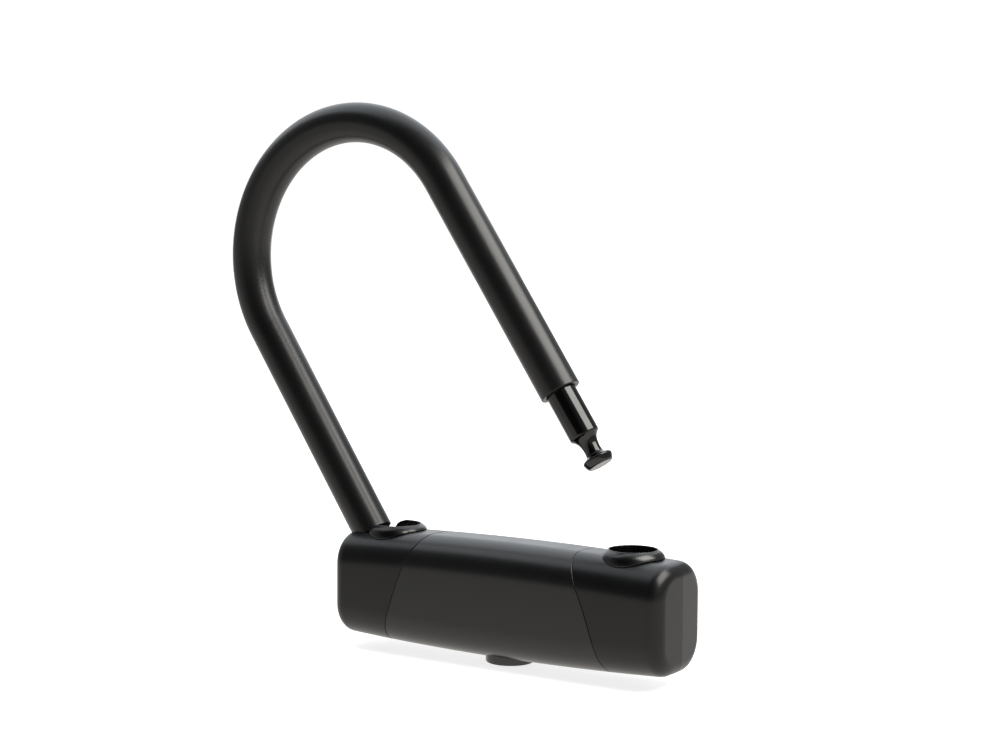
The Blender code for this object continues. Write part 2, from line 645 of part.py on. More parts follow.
# ---- Assembly ----
def build():
    tube = crossbar_tube()
    cover("centre_cover", centre_zone, [bezel_hole])
    left_cap = cover("left_end_cap", left_zone, [left_collar_hole, sleeve_slot])
    right_cap = cover("right_end_cap", right_zone, [right_collar_hole])
    combine(collar("left_collar", PIVOT_X), collar_slot)
    collar("right_collar", SOCKET_X)

    left_block = end_block("left_end_block", -1)
    for cut in (foot_sweep, sleeve_slot, hinge_hole):
        combine(left_block, cut)
    right_block = end_block("right_end_block", 1)
    for cut in (right_socket, bolt_channel):
        combine(right_block, cut)

    reach = TUBE_DEPTH / 2 - GAP
    part("hinge_pin", rod("hinge_pin", HINGE_PIN_RADIUS, -reach, reach, "Y", 24), BARE_STEEL,
         (PIVOT_X, 0, PIVOT_RISE))
    cross_pin("left_block_pin", -CROSS_PIN_X, (tube, left_block))
    cross_pin("right_block_pin", CROSS_PIN_X, (tube, right_block))
    cap_screw("left_cap_screw", -SCREW_X, (left_cap, tube, left_block))
    cap_screw("right_cap_screw", SCREW_X, (right_cap, tube, right_block))

    chassis = lock_chassis()
    body = cylinder_body()
    cross_pin("cylinder_pin", CYLINDER_RADIUS + 0.0004, (tube, chassis, body))
    bezel_ring()
    dust_shutter()
    key_plug()
    anti_drill_disc()
    for index in range(DISC_COUNT):
        code_disc(index)
    sidebar()
    drive_cam()
    deadbolt()

    shackle_bar()
    shackle_sleeve()


build()
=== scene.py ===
"""The look of the u lock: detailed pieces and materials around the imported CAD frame. Metres, +Z up."""
import json
import math

import bmesh
import bpy
from mathutils import Matrix, Vector


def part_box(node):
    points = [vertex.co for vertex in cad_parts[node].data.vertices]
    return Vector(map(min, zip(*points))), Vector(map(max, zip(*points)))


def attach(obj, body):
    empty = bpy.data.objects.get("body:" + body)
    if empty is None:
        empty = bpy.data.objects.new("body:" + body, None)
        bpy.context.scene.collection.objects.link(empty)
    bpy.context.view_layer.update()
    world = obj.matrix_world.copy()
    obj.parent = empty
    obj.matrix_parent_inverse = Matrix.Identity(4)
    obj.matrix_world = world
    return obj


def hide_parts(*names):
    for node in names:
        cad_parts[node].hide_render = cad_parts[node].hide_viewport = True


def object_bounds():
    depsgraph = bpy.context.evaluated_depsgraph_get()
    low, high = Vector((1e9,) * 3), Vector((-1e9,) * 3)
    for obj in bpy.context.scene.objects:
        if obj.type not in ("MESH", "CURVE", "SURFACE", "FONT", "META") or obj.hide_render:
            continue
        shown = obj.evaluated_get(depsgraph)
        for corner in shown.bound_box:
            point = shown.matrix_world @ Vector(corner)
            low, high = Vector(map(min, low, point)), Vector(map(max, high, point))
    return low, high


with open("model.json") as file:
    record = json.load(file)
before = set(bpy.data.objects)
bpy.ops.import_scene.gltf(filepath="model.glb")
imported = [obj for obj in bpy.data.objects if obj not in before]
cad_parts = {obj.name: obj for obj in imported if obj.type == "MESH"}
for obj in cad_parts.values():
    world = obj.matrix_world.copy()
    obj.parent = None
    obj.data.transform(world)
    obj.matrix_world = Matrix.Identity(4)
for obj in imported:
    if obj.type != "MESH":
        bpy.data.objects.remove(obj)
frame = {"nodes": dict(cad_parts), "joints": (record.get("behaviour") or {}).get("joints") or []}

cad_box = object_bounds()

# ---- Dimensions read from the frame ----
right_cap_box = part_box("right_end_cap")
centre_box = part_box("centre_cover")
collar_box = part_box("right_collar")
bezel_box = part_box("bezel_ring")
shutter_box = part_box("dust_shutter")
sleeve_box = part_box("shackle_sleeve")
bar_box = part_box("shackle_bar")
joints = {joint["name"]: joint for joint in frame["joints"]}
swing = joints["shackle_swing"]

HALF_LENGTH = right_cap_box[1].x
HALF_DEPTH = (centre_box[1].y - centre_box[0].y) / 2
MID_Y = (centre_box[1].y + centre_box[0].y) / 2
BELLY = 0.0020
END_HALF_HEIGHT = (centre_box[1].z - centre_box[0].z) / 2 - BELLY
PIVOT = Vector(swing["pos_m"])
LEG_SPACING = -2 * PIVOT.x
OPEN_ANGLE = math.radians(max(swing["range_deg"]))
RIM_HEIGHT = collar_box[1].z
COLLAR_X = (collar_box[0].x + collar_box[1].x) / 2
COLLAR_BOTTOM = collar_box[0].z
SLEEVE_RADIUS = (sleeve_box[1].y - sleeve_box[0].y) / 2
BAR_RADIUS = (bar_box[1].y - bar_box[0].y) / 2
BEZEL_RADIUS = (bezel_box[1].x - bezel_box[0].x) / 2
BEZEL_FACE = bezel_box[0].z
SHUTTER_RIM = (shutter_box[1].x - shutter_box[0].x) / 2
SHUTTER_FACE = shutter_box[0].z
SHUTTER_BACK = shutter_box[1].z

# ---- Dimensions of the details ----
EDGE_RADIUS = 0.014
END_RADIUS = 0.0060
END_DRAFT = 0.045             # how far each end falls back per metre from its ridge at mid depth
COVER_WALL = 0.0030
CAVITY_HALF_LENGTH = 0.0778
GAP = 0.0003
SEAM_X = 0.0479
SEAM_SLOPE = 0.374
SEAM_BOW = 2.9                # how strongly the seams curve, per metre of height squared
SEAM_GAP = 0.00016
SEAM_FILLET = 0.00034
COLLAR_HOLE = 0.0113
COLLAR_SKIRT = 0.0110
COLLAR_BORE = 0.0098
COLLAR_RIM = 0.0104
COLLAR_FLARE = 0.0033         # how far the flare grows beyond the rim
FLARE_DEPTH = 0.0019          # how fast it grows with depth
COLLAR_LIP = 0.00022          # rounding of the collar's edges
COLLAR_SLOT = 0.0097          # half the width of the left collar's opening
SLEEVE_BORE = 0.0068
LEFT_SLEEVE_END = 0.0246      # height above the hinge pin where the sleeve stops on the hinged leg
RIGHT_SLEEVE_END = 0.0261     # the same on the free leg
ARC_START = 0.1322            # height above the hinge pin where the legs meet the arc
EYE_RADIUS = 0.0028
SLOT_HALF_WIDTH = 0.0093
BEZEL_HOLE = BEZEL_RADIUS + GAP
SCREW_X = 0.070
SCREW_HEAD = 0.0029
SCREW_SHANK = 0.0015
SCREW_RECESS_TOP = -0.0213
INSIDE_HEIGHT = 0.010         # a level inside the covers, above the middle
HOLE_REACH = 0.018            # how far below the middle the holes from underneath end
FAR = 0.04                    # beyond every face, for the cutters


# ---- Mesh tools ----
def lofted(name, loops, cyclic=False, cap=None):
    """Quads between loops of points. The ends are joined up, or closed by cap(bm, verts)."""
    bm = bmesh.new()
    rows = [[bm.verts.new(point) for point in loop] for loop in loops]
    pairs = list(zip(rows, rows[1:]))
    if cyclic:
        pairs.append((rows[-1], rows[0]))
    count = len(rows[0])
    for near, far in pairs:
        for index in range(count):
            following = (index + 1) % count
            bm.faces.new((near[index], near[following], far[following], far[index]))
    if not cyclic:
        cap = cap or whole_cap
        cap(bm, rows[0])
        cap(bm, rows[-1])
    bmesh.ops.remove_doubles(bm, verts=bm.verts, dist=0.0000005)
    bmesh.ops.recalc_face_normals(bm, faces=bm.faces)
    mesh = bpy.data.meshes.new(name)
    bm.to_mesh(mesh)
    bm.free()
    return linked(name, mesh)


def whole_cap(bm, verts):
    bm.faces.new(verts)


def linked(name, mesh):
    obj = bpy.data.objects.new(name, mesh)
    bpy.context.scene.collection.objects.link(obj)
    return obj


def spaced(low, high, count):
    return [low + (high - low) * step / (count - 1) for step in range(count)]


def filleted(points, steps=4):
    """An outline of (a, b, fillet) points with each corner replaced by a short curve."""
    outline = []
    for index, (a, b, size) in enumerate(points):
        here = Vector((a, b))
        if size <= 0:
            outline.append(tuple(here))
            continue
        before = Vector(points[index - 1][:2])
        after = Vector(points[(index + 1) % len(points)][:2])
        start = here + (before - here).normalized() * size
        end = here + (after - here).normalized() * size
        for step in range(steps + 1):
            t = step / steps
            outline.append(tuple(start * (1 - t) ** 2 + here * 2 * t * (1 - t) + end * t ** 2))
    return outline


def turned(name, profile, centre, steps=96):
    """A closed (radius, height) outline turned about a vertical axis."""
    loops = []
    for step in range(steps):
        angle = 2 * math.pi * step / steps
        side = Vector((math.cos(angle), math.sin(angle), 0))
        loops.append([Vector((centre[0], centre[1], height)) + side * radius for radius, height in profile])
    return lofted(name, loops, cyclic=True)


def rod_cutter(centre, radius, low, high, sides=96):
    bm = bmesh.new()
    bmesh.ops.create_cone(bm, cap_ends=True, segments=sides, radius1=radius, radius2=radius, depth=high - low)
    bmesh.ops.translate(bm, vec=(centre[0], centre[1], (low + high) / 2), verts=bm.verts)
    mesh = bpy.data.meshes.new("rod_cutter")
    bm.to_mesh(mesh)
    bm.free()
    return linked("rod_cutter", mesh)


def plate_cutter(outline, centre, half_thickness):
    """An (x, z) outline thickened along Y."""
    loops = []
    for side in (-1, 1):
        loops.append([Vector((centre.x + x, centre.y + side * half_thickness, centre.z + z)) for x, z in outline])
    return lofted("plate_cutter", loops)


def cut(obj, *cutters):
    """Cuts the solids out of obj for good."""
    for cutter in cutters:
        modifier = obj.modifiers.new("cut", "BOOLEAN")
        modifier.operation = "DIFFERENCE"
        modifier.solver = "EXACT"
        modifier.object = cutter
    settle(obj)
    for cutter in cutters:
        bpy.data.objects.remove(cutter, do_unlink=True)
    return obj


def settle(obj):
    """Applies the modifiers."""
    bpy.context.view_layer.update()
    evaluated = obj.evaluated_get(bpy.context.evaluated_depsgraph_get())
    mesh = bpy.data.meshes.new_from_object(evaluated)
    obj.modifiers.clear()
    obj.data = mesh
    mesh.name = obj.name


def soften(obj, sharp_angle=42):
    """Smooth shading that keeps large faces flat."""
    obj.data.shade_smooth()
    obj.data.set_sharp_from_angle(angle=math.radians(sharp_angle))
    modifier = obj.modifiers.new("shading", "WEIGHTED_NORMAL")
    modifier.keep_sharp = True
    modifier.weight = 60
    return obj


# ---- Materials ----
def node_material(name):
    made = bpy.data.materials.new(name)
    made.use_nodes = True
    tree = made.node_tree
    shader = tree.nodes["Principled BSDF"]
    return made, tree, shader


def add(tree, kind, **settings):
    node = tree.nodes.new(kind)
    for key, value in settings.items():
        setattr(node, key, value)
    return node


def place(tree):
    """Coordinates in metres that move with the piece."""
    return add(tree, "ShaderNodeTexCoord").outputs["Object"]


def stretched(tree, source, scale):
    mapping = add(tree, "ShaderNodeMapping")
    mapping.inputs["Scale"].default_value = scale
    tree.links.new(source, mapping.inputs["Vector"])
    return mapping.outputs["Vector"]


def noise(tree, source, scale, detail=4.0, roughness=0.55):
    node = add(tree, "ShaderNodeTexNoise")
    node.inputs["Scale"].default_value = scale
    node.inputs["Detail"].default_value = detail
    node.inputs["Roughness"].default_value = roughness
    tree.links.new(source, node.inputs["Vector"])
    return node.outputs["Fac"]


def remap(tree, value, low, high, to_low, to_high):
    node = add(tree, "ShaderNodeMapRange")
    for key, number in (("From Min", low), ("From Max", high), ("To Min", to_low), ("To Max", to_high)):
        node.inputs[key].default_value = number
    tree.links.new(value, node.inputs["Value"])
    return node.outputs["Result"]


def calculate(tree, operation, first, second):
    node = add(tree, "ShaderNodeMath", operation=operation)
    for socket, value in zip(node.inputs, (first, second)):
        if isinstance(value, (int, float)):
            socket.default_value = value
        else:
            tree.links.new(value, socket)
    return node.outputs["Value"]


def blend_colours(tree, factor, first, second):
    node = add(tree, "ShaderNodeMix", data_type="RGBA")
    for socket, value in (("Factor_Float", factor), ("A_Color", first), ("B_Color", second)):
        target = next(item for item in node.inputs if item.identifier == socket)
        if isinstance(value, tuple):
            target.default_value = (*value, 1.0)
        elif isinstance(value, (int, float)):
            target.default_value = value
        else:
            tree.links.new(value, target)
    return next(item for item in node.outputs if item.identifier == "Result_Color")


def bump(tree, height, strength, distance, normal=None):
    node = add(tree, "ShaderNodeBump")
    node.inputs["Strength"].default_value = strength
    node.inputs["Distance"].default_value = distance
    tree.links.new(height, node.inputs["Height"])
    if normal is not None:
        tree.links.new(normal, node.inputs["Normal"])
    return node.outputs["Normal"]


def edge_mask(tree, low, high):
    """1 on worn outer edges, from the surface's own curvature."""
    geometry = add(tree, "ShaderNodeNewGeometry")
    return remap(tree, geometry.outputs["Pointiness"], low, high, 0.0, 1.0)


def scratches(tree, source, scale, direction):
    """Thin, sparse hairlines along one direction."""
    lines = noise(tree, stretched(tree, source, direction), scale, 2.0, 0.4)
    return remap(tree, lines, 0.66, 0.72, 0.0, 1.0)


def cover_plastic(name, refraction):
    """Satin moulded plastic: fine grain, slight gloss changes, hairlines and paler worn edges."""
    made, tree, shader = node_material(name)
    source = place(tree)
    mottling = noise(tree, source, 60.0, 5.0, 0.6)
    lines = scratches(tree, source, 90.0, (1.0, 6.0, 14.0))
    worn = calculate(tree, "MULTIPLY", edge_mask(tree, 0.53, 0.62), noise(tree, source, 240.0, 4.0))
    base = blend_colours(tree, mottling, (0.0034, 0.0034, 0.0037), (0.0052, 0.0052, 0.0056))
    base = blend_colours(tree, calculate(tree, "MULTIPLY", worn, 0.35), base, (0.045, 0.045, 0.045))
    tree.links.new(base, shader.inputs["Base Color"])
    gloss = remap(tree, mottling, 0.3, 0.7, 0.275, 0.315)
    gloss = calculate(tree, "ADD", gloss, calculate(tree, "MULTIPLY", lines, 0.02))
    tree.links.new(gloss, shader.inputs["Roughness"])
    grain = noise(tree, source, 2600.0, 3.0, 0.6)
    normal = bump(tree, grain, 0.06, 0.00003)
    normal = bump(tree, noise(tree, source, 110.0, 2.0), 0.018, 0.0001, normal)
    tree.links.new(normal, shader.inputs["Normal"])
    shader.inputs["IOR"].default_value = refraction
    return made


def shackle_vinyl():
    """Smooth vinyl sleeve: soft gloss, faint drawn ripples along the bar, a little dust."""
    made, tree, shader = node_material("shackle_vinyl_look")
    source = place(tree)
    cloud = noise(tree, source, 45.0, 4.0, 0.55)
    dust = remap(tree, noise(tree, source, 1500.0, 2.0, 0.5), 0.70, 0.76, 0.0, 1.0)
    base = blend_colours(tree, cloud, (0.0036, 0.0036, 0.0038), (0.0058, 0.0058, 0.0060))
    base = blend_colours(tree, calculate(tree, "MULTIPLY", dust, 0.12), base, (0.06, 0.06, 0.058))
    tree.links.new(base, shader.inputs["Base Color"])
    gloss = remap(tree, cloud, 0.3, 0.7, 0.30, 0.34)
    gloss = calculate(tree, "ADD", gloss, calculate(tree, "MULTIPLY", dust, 0.2))
    tree.links.new(gloss, shader.inputs["Roughness"])
    normal = bump(tree, noise(tree, source, 90.0, 2.0), 0.018, 0.0001)
    normal = bump(tree, noise(tree, source, 1900.0, 3.0), 0.04, 0.00002, normal)
    tree.links.new(normal, shader.inputs["Normal"])
    shader.inputs["IOR"].default_value = 1.50
    return made


def dark_metal(name, base_low, base_high, roughness, brushed):
    """Black-nickel plated steel: fine lines, cloudy gloss, brighter worn edges."""
    made, tree, shader = node_material(name)
    source = place(tree)
    cloud = noise(tree, source, 70.0, 5.0, 0.6)
    lines = noise(tree, stretched(tree, source, brushed), 500.0, 3.0, 0.6)
    worn = calculate(tree, "MULTIPLY", edge_mask(tree, 0.54, 0.66), noise(tree, source, 500.0, 3.0))
    base = blend_colours(tree, cloud, base_low, base_high)
    base = blend_colours(tree, calculate(tree, "MULTIPLY", worn, 0.5), base, (0.24, 0.24, 0.24))
    tree.links.new(base, shader.inputs["Base Color"])
    shader.inputs["Metallic"].default_value = 1.0
    gloss = remap(tree, cloud, 0.3, 0.7, roughness * 0.85, roughness * 1.2)
    tree.links.new(gloss, shader.inputs["Roughness"])
    normal = bump(tree, lines, 0.05, 0.00002)
    tree.links.new(normal, shader.inputs["Normal"])
    return made


def bright_metal(name, low, high, roughness, brushed, pitting):
    """Bare metal with machining lines, stains and small pits."""
    made, tree, shader = node_material(name)
    source = place(tree)
    stain = noise(tree, source, 90.0, 6.0, 0.65)
    lines = noise(tree, stretched(tree, source, brushed), 420.0, 3.0, 0.6)
    pits = remap(tree, noise(tree, source, 1400.0, 3.0), 0.30, 0.42, 0.0, 1.0)
    base = blend_colours(tree, stain, low, high)
    tree.links.new(base, shader.inputs["Base Color"])
    shader.inputs["Metallic"].default_value = 1.0
    gloss = calculate(tree, "ADD", remap(tree, stain, 0.3, 0.7, roughness * 0.8, roughness * 1.25),
                      remap(tree, lines, 0.3, 0.7, -0.04, 0.04))
    tree.links.new(gloss, shader.inputs["Roughness"])
    normal = bump(tree, lines, 0.12, 0.00003)
    normal = bump(tree, pits, pitting, 0.00005, normal)
    tree.links.new(normal, shader.inputs["Normal"])
    return made


LOOKS = {
    "cover_plastic": cover_plastic("cover_plastic_look", 1.50),
    "shackle_vinyl": shackle_vinyl(),
    "shackle_steel": dark_metal("shackle_steel_look", (0.045, 0.045, 0.045), (0.059, 0.059, 0.058), 0.11,
                                (6.0, 6.0, 1.0)),
    "collar_steel": dark_metal("collar_steel_look", (0.050, 0.050, 0.050), (0.062, 0.062, 0.061), 0.27,
                               (1.0, 1.0, 7.0)),
    "inner_steel": bright_metal("inner_steel_look", (0.36, 0.36, 0.37), (0.50, 0.50, 0.50), 0.34,
                                (1.0, 6.0, 6.0), 0.05),
    "zinc_casting": bright_metal("zinc_casting_look", (0.30, 0.31, 0.32), (0.42, 0.43, 0.44), 0.48,
                                 (1.0, 1.0, 1.0), 0.25),
    "cylinder_brass": bright_metal("cylinder_brass_look", (0.50, 0.37, 0.16), (0.64, 0.49, 0.24), 0.30,
                                   (1.0, 1.0, 8.0), 0.06),
}


def dress(obj, slot_name, body, *nodes, look=None):
    """Gives a finished piece its material and its body, and hides the CAD nodes it stands for."""
    obj.data.materials.clear()
    obj.data.materials.append(look or LOOKS[slot_name])
    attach(obj, body)
    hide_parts(*nodes)
    return obj


# ---- Crossbar covers ----
def bow(x):
    """How far the covers stand out above their height at the ends."""
    reach = HALF_LENGTH - END_RADIUS
    return BELLY * max(0.0, 1.0 - (x / reach) ** 2)


def section_directions():
    """The crossbar's outline as (u, v, ny, nz): a corner centre's side and level, and the surface's direction."""
    flat, arc, front = 6, 22, 14
    outline = [(-t, 1, 0, 1) for t in spaced(0, 1, flat)[:-1]]
    outline += [(-1, 1, -math.sin(a), math.cos(a)) for a in spaced(0, math.pi / 2, arc)]
    outline += [(-1, t, -1, 0) for t in spaced(1, -1, front)[1:-1]]
    outline += [(-1, -1, -math.cos(a), -math.sin(a)) for a in spaced(0, math.pi / 2, arc)]
    outline += [(-t, -1, 0, -1) for t in spaced(1, 0, flat)[1:]]
    back = [(-u, v, -ny, nz) for u, v, ny, nz in reversed(outline[1:-1])]
    return outline + back


OUTLINE = section_directions()
FRONT_COUNT = (len(OUTLINE) + 2) // 2


def outer_point(direction, x, inset):
    u, v, ny, nz = direction
    y = u * (HALF_DEPTH - EDGE_RADIUS) + ny * (EDGE_RADIUS - inset)
    z = v * (END_HALF_HEIGHT + bow(x) - EDGE_RADIUS) + nz * (EDGE_RADIUS - inset)
    return y, z


def inner_point(direction):
    u, v, ny, nz = direction
    radius = EDGE_RADIUS - COVER_WALL + GAP
    y = u * (HALF_DEPTH - COVER_WALL - radius) + ny * radius
    z = v * (END_HALF_HEIGHT - COVER_WALL - radius) + nz * radius
    return y, z


def seam(z, offset):
    return SEAM_X - SEAM_SLOPE * z - SEAM_BOW * z * z + offset


def outer_loop(inset, x_of):
    """One loop on the outer surface; x_of(z) gives its place along the crossbar."""
    loop = []
    for direction in OUTLINE:
        x = x_of(0.0)
        for _ in range(5):
            y, z = outer_point(direction, x, inset)
            x = x_of(z)
        loop.append(Vector((x, MID_Y + y, z)))
    return loop


def inner_loop(x_of):
    loop = []
    for direction in OUTLINE:
        y, z = inner_point(direction)
        loop.append(Vector((x_of(z), MID_Y + y, z)))
    return loop


def fillet_rows(steps=5):
    """(distance from the edge, inset) pairs round a seam edge."""
    rows = []
    for angle in spaced(0, math.pi / 2, steps):
        rows.append((SEAM_FILLET * (1 - math.sin(angle)), SEAM_FILLET * (1 - math.cos(angle))))
    return rows


def centre_cover():
    offset = -SEAM_GAP / 2
    loops = []
    for side_share in spaced(-1, 1, 49):
        loops.append(outer_loop(0.0, lambda z, s=side_share: s * (seam(z, offset) - SEAM_FILLET)))
    for back, inset in fillet_rows()[1:]:
        loops.append(outer_loop(inset, lambda z, b=back: seam(z, offset) - b))
    for side_share in spaced(1, -1, 5):
        loops.append(inner_loop(lambda z, s=side_share: s * seam(z, offset)))
    for back, inset in reversed(fillet_rows()[1:]):
        loops.append(outer_loop(inset, lambda z, b=back: -(seam(z, offset) - b)))
    cover = lofted("centre_cover_shell", loops, cyclic=True)
    cut(cover, rod_cutter((0, MID_Y), BEZEL_HOLE, -FAR, -HOLE_REACH, 128))
    return dress(soften(cover), "cover_plastic", "crossbar", "centre_cover")


def ridged_cap(bm, verts):
    """Two flat halves that meet in a crisp ridge at mid depth."""
    if max(vert.co.x for vert in verts) - min(vert.co.x for vert in verts) < 1e-7:
        bm.faces.new(verts)
        return
    front = verts[:FRONT_COUNT]
    back = verts[FRONT_COUNT - 1:] + verts[:1]
    for half in (front, back):
        bm.faces.new(half)


def end_cap(name, side):
    """The cover beyond a seam, closed by a rounded end."""
    offset = SEAM_GAP / 2
    reach = HALF_LENGTH - END_RADIUS
    loops = [inner_loop(lambda z: CAVITY_HALF_LENGTH), inner_loop(lambda z: seam(z, offset))]
    for back, inset in reversed(fillet_rows()):
        loops.append(outer_loop(inset, lambda z, b=back: seam(z, offset) + b))
    for share in spaced(0, 1, 22)[1:]:
        loops.append(outer_loop(0.0, lambda z, s=share: (1 - s) * (seam(z, offset) + SEAM_FILLET) + s * reach))
    for angle in spaced(0, math.pi / 2, 15)[1:]:
        inset = END_RADIUS * (1 - math.cos(angle))
        loops.append(outer_loop(inset, lambda z, a=angle: reach + END_RADIUS * math.sin(a)))
    for loop in loops[2:]:
        for point in loop:
            share = min(1.0, max(0.0, (point.x - COLLAR_X) / (reach - COLLAR_X)))
            point.x -= END_DRAFT * abs(point.y - MID_Y) * share
    loops = [[Vector((side * point.x, point.y, point.z)) for point in loop] for loop in loops]
    cap = lofted(name, loops, cap=ridged_cap)
    screw_centre = (side * SCREW_X, MID_Y)
    holes = [rod_cutter((side * COLLAR_X, MID_Y), COLLAR_HOLE, INSIDE_HEIGHT, FAR),
             rod_cutter(screw_centre, SCREW_HEAD + GAP, -FAR, SCREW_RECESS_TOP, 48),
             rod_cutter(screw_centre, SCREW_SHANK + GAP, -FAR, -HOLE_REACH, 32)]
    if side < 0:
        holes.append(plate_cutter(sleeve_slot_outline(), PIVOT, SLOT_HALF_WIDTH))
    return cut(cap, *holes)


def sleeve_slot_outline():
    """The notch, above the end of the sleeve, that the leaning left leg lies in."""
    clearance = SLEEVE_RADIUS + 0.0004
    along = LEFT_SLEEVE_END - 0.0008
    lean, rise = math.sin(OPEN_ANGLE), math.cos(OPEN_ANGLE)
    near_x, near_z = -clearance * rise - along * lean, -clearance * lean + along * rise
    run, floor = 0.030, 0.012
    pin_clearance = BAR_RADIUS + 0.0006
    pin_run = (floor + pin_clearance * lean) / rise
    floor_x = -pin_clearance * rise - pin_run * lean
    far_x, far_z = near_x - run * lean, near_z + run * rise
    return [(0.0, floor), (0.0, far_z), (far_x, far_z), (near_x, near_z), (floor_x, floor)]


def mark_ridge(cap):
    """Keeps the ridge across an end crisp."""
    mesh = cap.data
    reach = HALF_LENGTH - END_RADIUS / 2
    sharp = mesh.attributes.get("sharp_edge") or mesh.attributes.new("sharp_edge", "BOOLEAN", "EDGE")
    for edge in mesh.edges:
        ends = [mesh.vertices[index].co for index in edge.vertices]
        on_ridge = all(abs(co.y - MID_Y) < 1e-6 and abs(co.x) > reach for co in ends)
        if on_ridge:
            sharp.data[edge.index].value = True


# ---- Collars ----
def cover_top(x, y):
    """Height of the cover's upper surface."""
    side = max(0.0, abs(y - MID_Y) - (HALF_DEPTH - EDGE_RADIUS))
    height = END_HALF_HEIGHT + bow(x) - EDGE_RADIUS
    return height + math.sqrt(max(0.0, EDGE_RADIUS ** 2 - side ** 2))


def flare(depth):
    return COLLAR_RIM + COLLAR_FLARE * (1 - math.exp(-depth / FLARE_DEPTH))


def collar_loop(centre_x, share, slot, inset=0.0):
    """The collar's section at one share of its way round, from the rim down the flare and back up the bore."""
    def spot(radius, height):
        limit = math.pi - (math.asin(min(1.0, slot / radius)) if slot else 0.0)
        angle = share * limit
        return Vector((centre_x + radius * math.cos(angle), MID_Y + radius * math.sin(angle), height))

    def floor_at(radius):
        below = spot(radius, 0.0)
        return cover_top(below.x, below.y) + GAP

    foot_depth = 0.004      # a first guess, which the rounds below settle
    for _ in range(12):
        foot_depth = RIM_HEIGHT - floor_at(flare(foot_depth))
    bore, rim_top = COLLAR_BORE + inset, RIM_HEIGHT - inset
    foot, skirt, bottom = flare(foot_depth) - inset, COLLAR_SKIRT - inset, COLLAR_BOTTOM + inset
    corner = spaced(0, math.pi / 2, 4)
    outline = []
    for angle in reversed(corner):
        outline.append((bore + COLLAR_LIP * (1 - math.sin(angle)), rim_top - COLLAR_LIP * (1 - math.cos(angle))))
    for angle in corner:
        outline.append((COLLAR_RIM - inset - COLLAR_LIP * (1 - math.sin(angle)),
                        rim_top - COLLAR_LIP * (1 - math.cos(angle))))
    for share_down in spaced(0, 1, 16)[1:]:
        depth = COLLAR_LIP + (foot_depth - 2 * COLLAR_LIP) * share_down ** 1.3
        outline.append((flare(depth - COLLAR_LIP * (1 - share_down)) - inset, RIM_HEIGHT - depth))
    for angle in corner[1:]:
        outline.append((foot - COLLAR_LIP * (1 - math.cos(angle)),
                        RIM_HEIGHT - foot_depth + COLLAR_LIP * (1 - math.sin(angle))))
    loop = [spot(radius, height) for radius, height in outline]
    for radius in spaced(foot - COLLAR_LIP, skirt, 5)[1:]:
        loop.append(spot(radius, floor_at(radius)))
    loop.append(spot(skirt, bottom))
    loop.append(spot(bore, bottom))
    return loop


def right_collar():
    steps = 144
    loops = [collar_loop(COLLAR_X, 2 * step / steps, 0.0) for step in range(steps)]
    collar = lofted("right_collar_ring", loops, cyclic=True)
    return dress(soften(collar), "collar_steel", "crossbar", "right_collar")


def left_collar():
    """The collar on the hinge side, open towards the left so that the leg can lean out."""
    end_fillet, end_depth = 0.0004, 0.7
    arc_length = COLLAR_RIM * (math.pi - math.asin(COLLAR_SLOT / COLLAR_RIM))
    rounded_end = []
    for angle in spaced(0, math.pi / 2, 5):
        back = end_fillet * (1 - math.sin(math.pi / 2 - angle)) / arc_length
        rounded_end.append((back - 1, end_fillet * (1 - math.sin(angle))))
    reach = 1 - end_fillet / arc_length
    rows = rounded_end + [(share, 0.0) for share in spaced(-reach, reach, 110)[1:-1]]
    rows += [(-share, inset) for share, inset in reversed(rounded_end)]
    loops = [collar_loop(-COLLAR_X, share, COLLAR_SLOT, inset * end_depth) for share, inset in rows]
    collar = lofted("left_collar_ring", loops)
    return dress(soften(collar), "collar_steel", "crossbar", "left_collar")


# ---- Shackle ----
ARC_RADIUS = LEG_SPACING / 2
ARC_LENGTH = math.pi * ARC_RADIUS
PATH_LENGTH = 2 * ARC_START + ARC_LENGTH      # from the hinge pin up, round and down to its level
SHACKLE_PLACE = Matrix.Translation(PIVOT) @ Matrix.Rotation(-OPEN_ANGLE, 4, "Y")


def along_shackle(distance):
    """The bar's centre and its outward direction, this far from the hinge pin along the upright shackle."""
    if distance <= ARC_START:
        return Vector((0, 0, distance)), Vector((-1, 0, 0))
    if distance <= ARC_START + ARC_LENGTH:
        angle = (distance - ARC_START) / ARC_RADIUS
        outward = Vector((-math.cos(angle), 0, math.sin(angle)))
        return Vector((ARC_RADIUS, 0, ARC_START)) + outward * ARC_RADIUS, outward
    return Vector((LEG_SPACING, 0, PATH_LENGTH - distance)), Vector((1, 0, 0))


def shackle_loop(distance, radius, sides):
    centre, outward = along_shackle(distance)
    loop = []
    for step in range(sides):
        angle = 2 * math.pi * step / sides
        spot = centre + (outward * math.cos(angle) + Vector((0, 1, 0)) * math.sin(angle)) * radius
        loop.append(SHACKLE_PLACE @ spot)
    return loop


def shackle_stations(low, high):
    """Places along the shackle: a few on the legs, many round the arc."""
    stations = spaced(low, ARC_START, 14)[:-1]
    stations += spaced(ARC_START, ARC_START + ARC_LENGTH, 90)
    stations += spaced(ARC_START + ARC_LENGTH, high, 14)[1:]
    return stations


